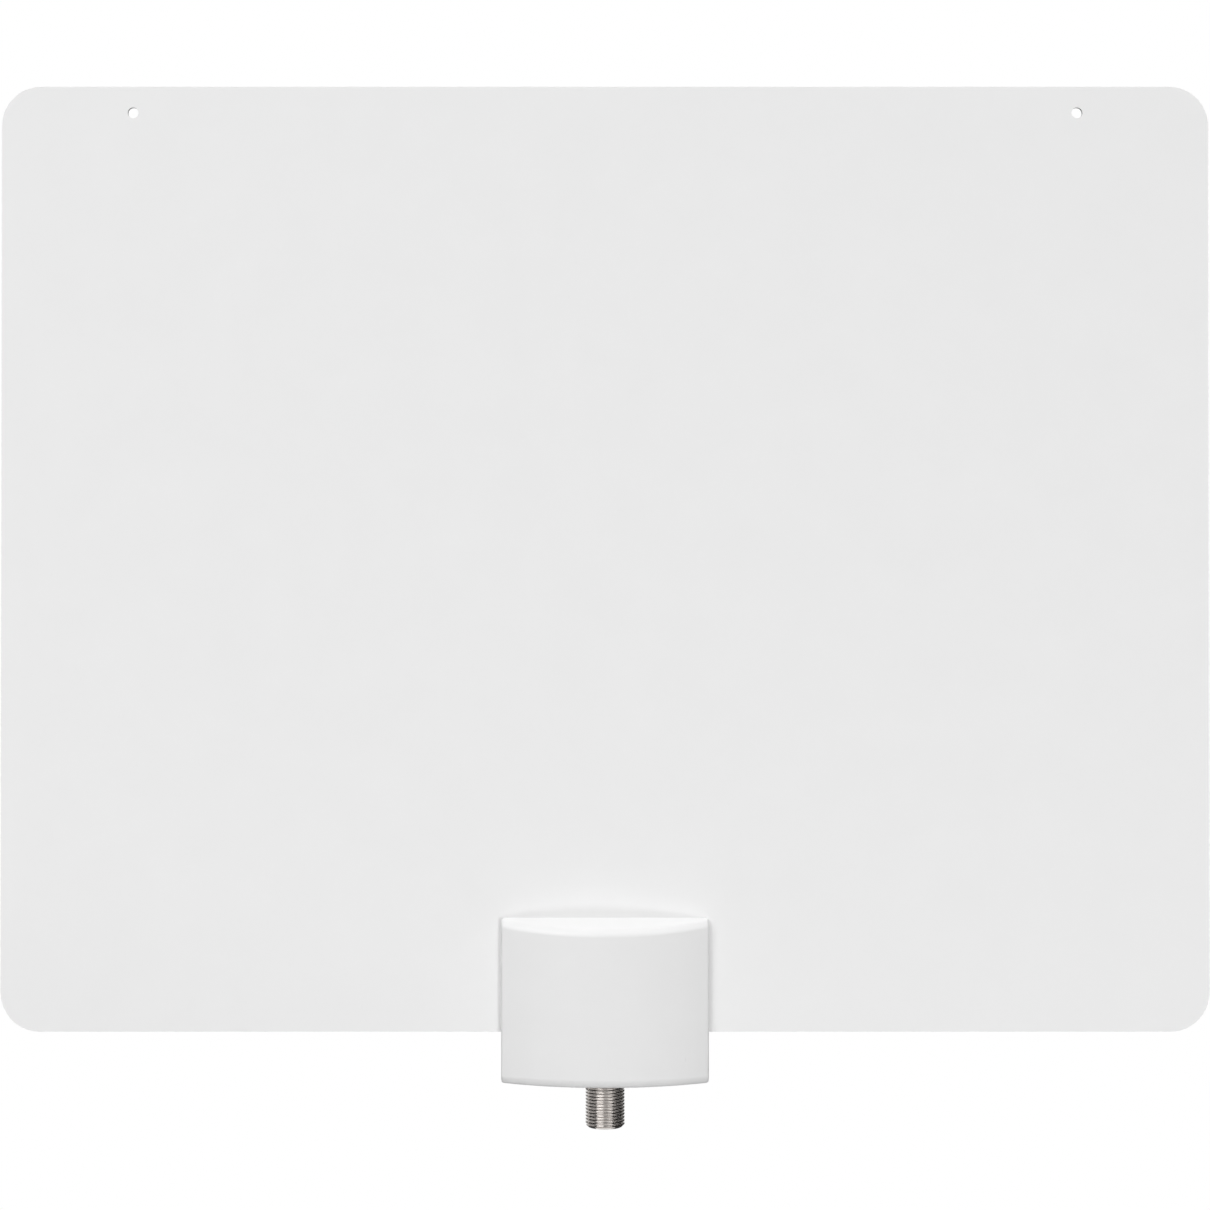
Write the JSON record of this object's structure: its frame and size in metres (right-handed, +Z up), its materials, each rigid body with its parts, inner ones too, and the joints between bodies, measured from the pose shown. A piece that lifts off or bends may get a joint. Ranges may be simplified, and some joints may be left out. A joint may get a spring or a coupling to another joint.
{
  "type": "flat tv antenna",
  "caption": "Thin rounded-corner film antenna with hanging holes near its top corners, a crowned housing clamped over its lower edge and a threaded coaxial jack pointing down.",
  "frame": {"origin": "midway between the two hanging holes, in the plane where the two films meet", "axes": "+Z up, +X to the right seen from the front, and the white front faces -Y"},
  "size_m": [0.2922, 0.0162, 0.2513],
  "materials": {
    "film_front": "white matte film",
    "film_back": "black matte film",
    "foil": "rolled foil",
    "housing_front": "white moulded ABS, satin",
    "housing_rear": "black moulded ABS, satin",
    "board": "glass-epoxy board with solder mask",
    "eyelet": "rolled brass",
    "ferrite": "sintered ferrite",
    "enamelled_wire": "enamelled copper wire",
    "nickel_plate": "nickel plated brass",
    "insulator": "moulded polyethylene",
    "contact": "plated spring bronze"
  },
  "bodies": {
    "root": {"front_film": "film_front", "back_film": "film_back", "left_radiator": "foil", "right_radiator": "foil", "front_housing": "housing_front", "rear_housing": "housing_rear", "circuit_board": "board", "left_feed_eyelet": "eyelet", "right_feed_eyelet": "eyelet", "balun_core": "ferrite", "primary_winding": "enamelled_wire", "secondary_winding": "enamelled_wire", "connector_shell": "nickel_plate", "connector_front_insulator": "insulator", "connector_rear_insulator": "insulator", "centre_contact": "contact"}
  },
  "joints": []
}
